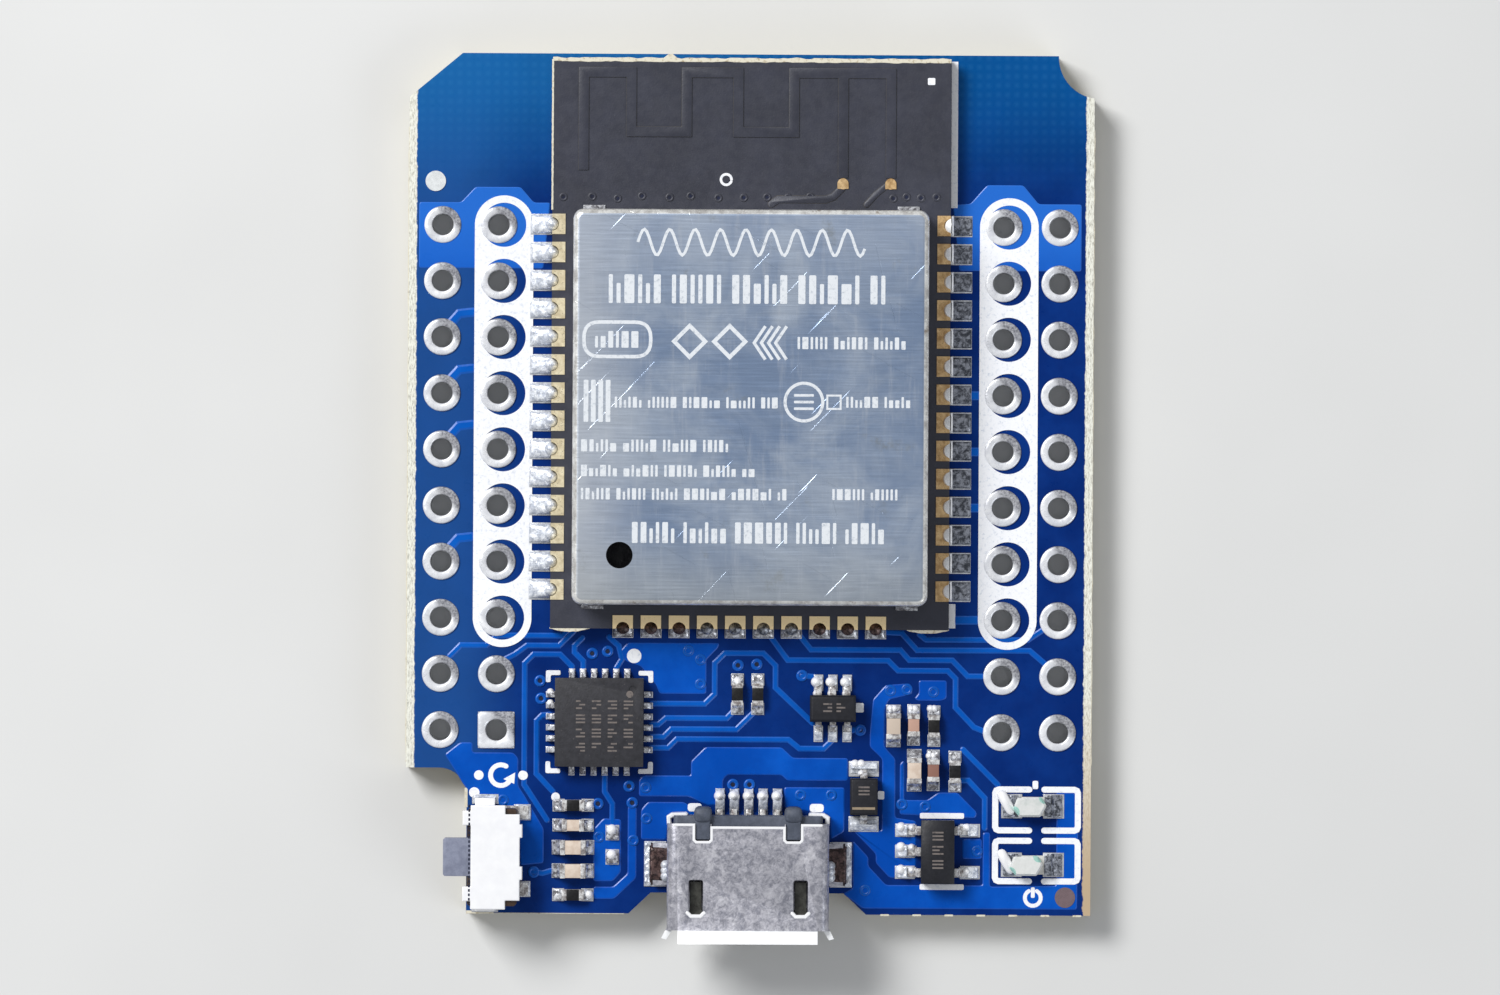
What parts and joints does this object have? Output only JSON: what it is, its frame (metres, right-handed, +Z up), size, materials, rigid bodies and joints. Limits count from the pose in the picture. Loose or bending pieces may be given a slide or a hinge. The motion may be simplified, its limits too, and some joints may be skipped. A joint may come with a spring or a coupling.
{
  "type": "microcontroller dev board",
  "caption": "Small blue development board with a shielded radio module, micro-USB socket, side reset button and double header-hole columns down both long edges.",
  "frame": {"origin": "on the board's underside, midway between the four header columns and halfway down their rows", "axes": "+X across the board away from the reset button, +Y along the board towards the antenna end (the USB mouth faces -Y), +Z up out of the component side"},
  "size_m": [0.031, 0.0402, 0.0048],
  "materials": {
    "blue_laminate": "satin solder mask",
    "tinned_copper": "bright tin",
    "black_laminate": "satin solder mask",
    "gold_plate": "satin gold",
    "solder": "bright",
    "tinned_sheet": "brushed, scratched",
    "mould_compound": "matt",
    "tinned_leads": "satin",
    "brown_ceramic": "matt",
    "tan_ceramic": "matt",
    "white_ceramic": "matt",
    "black_glaze": "gloss",
    "stainless_shell": "mottled satin",
    "black_plastic": "matt",
    "brown_plastic": "matt",
    "bright_sheet": "polished",
    "grey_plastic": "matt",
    "spring_steel": "satin",
    "clear_resin": "milky",
    "semiconductor": "gloss"
  },
  "bodies": {
    "board": {"main_board": "blue_laminate", "header_hole_plating": "tinned_copper", "surface_pads": "tinned_copper", "fiducial_pads": "tinned_copper", "module_board": "black_laminate", "module_edge_pads": "gold_plate", "module_solder_joints": "solder", "module_thermal_pad": "gold_plate", "module_antenna": "black_laminate", "antenna_feed_pads": "gold_plate", "shield_can": "tinned_sheet", "shield_solder": "solder", "processor_chip": "mould_compound", "processor_pads": "tinned_leads", "flash_memory_chip": "mould_compound", "flash_memory_leads": "tinned_leads", "crystal_base": "brown_ceramic", "crystal_lid": "tinned_sheet", "module_coils": "white_ceramic", "module_capacitors": "tan_ceramic", "module_capacitor_ends": "tinned_leads", "bridge_chip_body": "mould_compound", "bridge_chip_pads": "tinned_leads", "bridge_chip_solder": "solder", "usb_shell": "stainless_shell", "usb_insulator": "black_plastic", "usb_contacts": "gold_plate", "usb_contact_solder": "solder", "usb_tab_solder": "solder", "switch_base": "brown_plastic", "switch_cover": "bright_sheet", "switch_snap_dome": "spring_steel", "switch_terminals": "tinned_leads", "switch_solder": "solder", "regulator_body": "mould_compound", "regulator_leads": "tinned_leads", "transistor_pair_body": "mould_compound", "transistor_pair_leads": "tinned_leads", "diode_body": "mould_compound", "diode_leads": "tinned_leads", "lead_solder_joints": "solder", "resistor_substrates": "white_ceramic", "resistor_coatings": "black_glaze", "resistor_end_caps": "tinned_leads", "capacitor_bodies": "tan_ceramic", "capacitor_end_caps": "tinned_leads", "chip_solder_joints": "solder", "led_bases": "white_ceramic", "led_lenses": "clear_resin", "led_terminals": "gold_plate", "led_dies": "semiconductor", "led_solder": "solder"},
    "reset_plunger": {"switch_plunger": "grey_plastic"}
  },
  "joints": [
    {"name": "reset_press", "type": "slide", "parent": "board", "child": "reset_plunger", "axis": [1, 0, 0], "range_m": [0, 0.00025], "stiffness_N_per_m": 6000, "deforming": ["switch_snap_dome"]}
  ]
}
